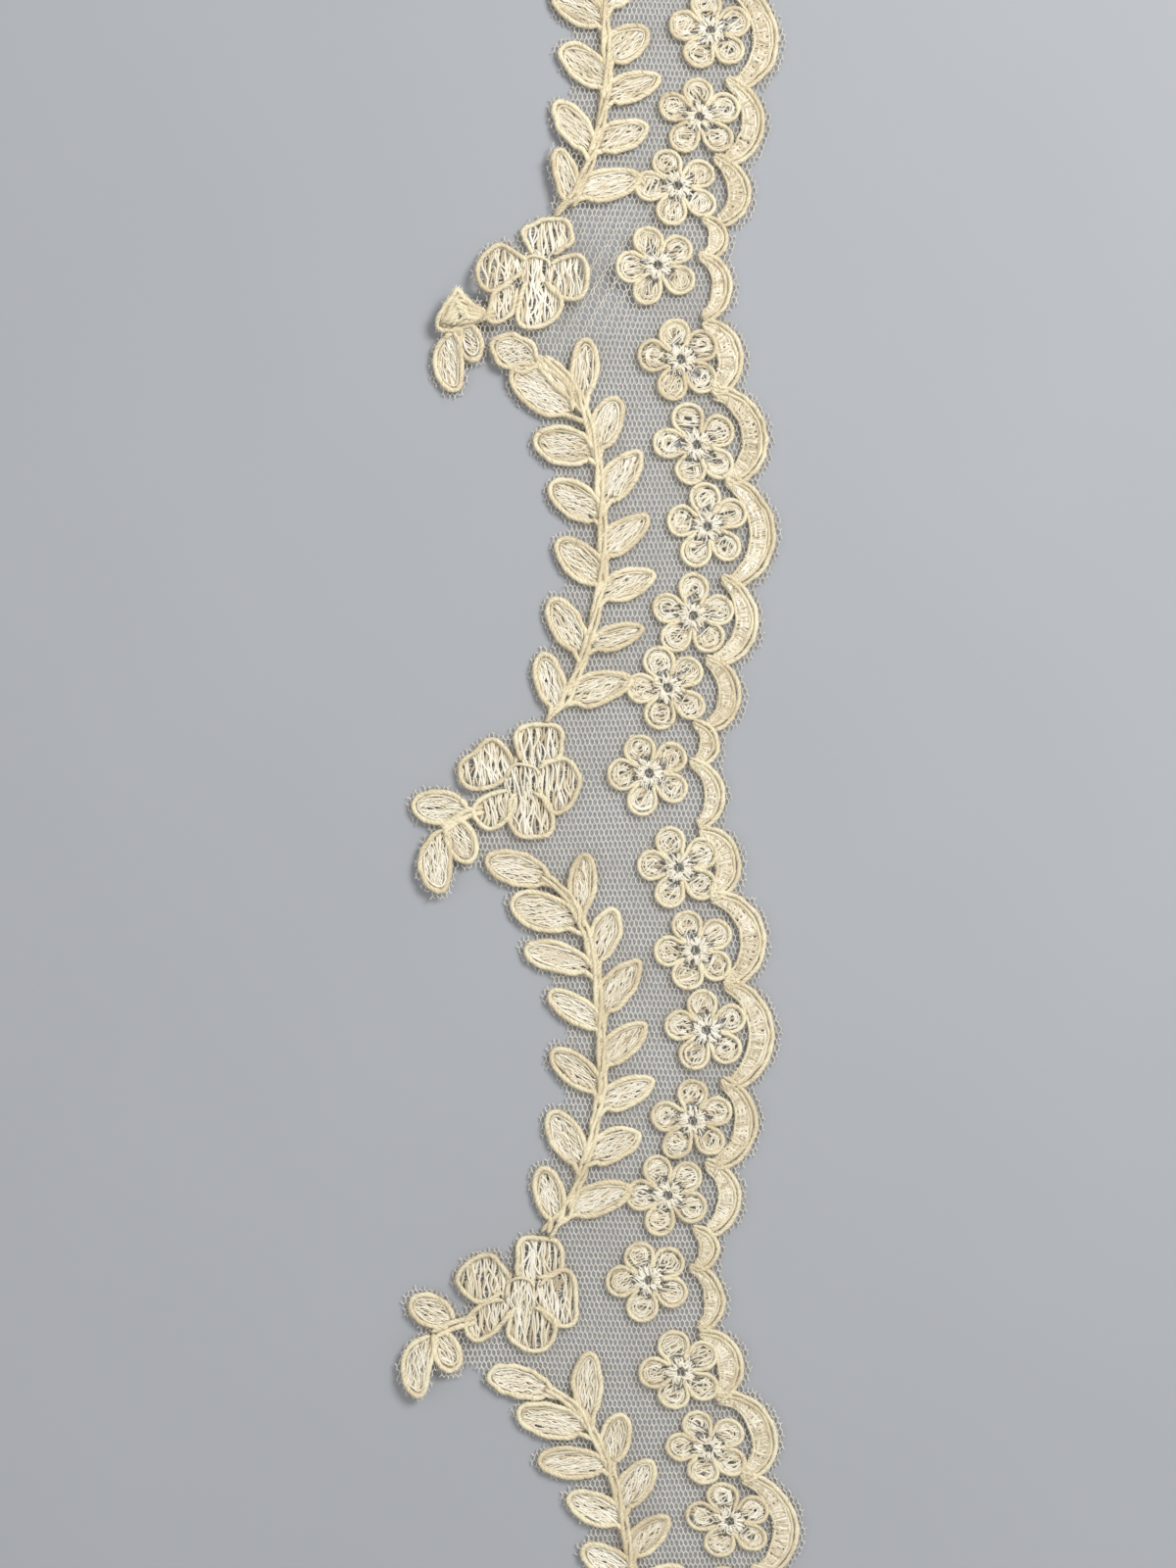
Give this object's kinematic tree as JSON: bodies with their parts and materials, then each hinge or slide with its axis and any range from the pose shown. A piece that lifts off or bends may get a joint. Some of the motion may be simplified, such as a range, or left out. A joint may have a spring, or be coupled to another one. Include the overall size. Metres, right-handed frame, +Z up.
{
  "type": "embroidered lace edging",
  "caption": "Cut length of ivory lace edging: leafy vines, flower sprays, small flowers and a scalloped border, floss-filled and outlined in couched cord on fine net.",
  "frame": {"origin": "middle of the cut length and width, on the table under the net", "axes": "+X across the edging towards the scallops, +Y along it, +Z up from the table"},
  "size_m": [0.0744, 0.3, 0.0049],
  "materials": {
    "net_yarn": "fine ivory hexagonal net, slightly glossy filament",
    "couched_cord": "cream twisted cord, matt and slightly fuzzy",
    "filling_floss": "ivory embroidery floss, soft satin"
  },
  "bodies": {
    "root": {"net_ground": "net_yarn", "vine_1": "couched_cord", "vine_2": "couched_cord", "vine_3": "couched_cord", "vine_4": "couched_cord", "flower_01": "couched_cord", "flower_02": "couched_cord", "flower_03": "couched_cord", "flower_04": "couched_cord", "flower_05": "couched_cord", "flower_06": "couched_cord", "flower_07": "couched_cord", "flower_08": "couched_cord", "flower_09": "couched_cord", "flower_10": "couched_cord", "flower_11": "couched_cord", "flower_12": "couched_cord", "flower_13": "couched_cord", "flower_14": "couched_cord", "flower_15": "couched_cord", "flower_16": "couched_cord", "flower_17": "couched_cord", "flower_18": "couched_cord", "flower_19": "couched_cord", "flower_20": "couched_cord", "spray_1": "filling_floss", "spray_2": "filling_floss", "spray_3": "filling_floss", "scallop_edge": "filling_floss"}
  },
  "joints": []
}
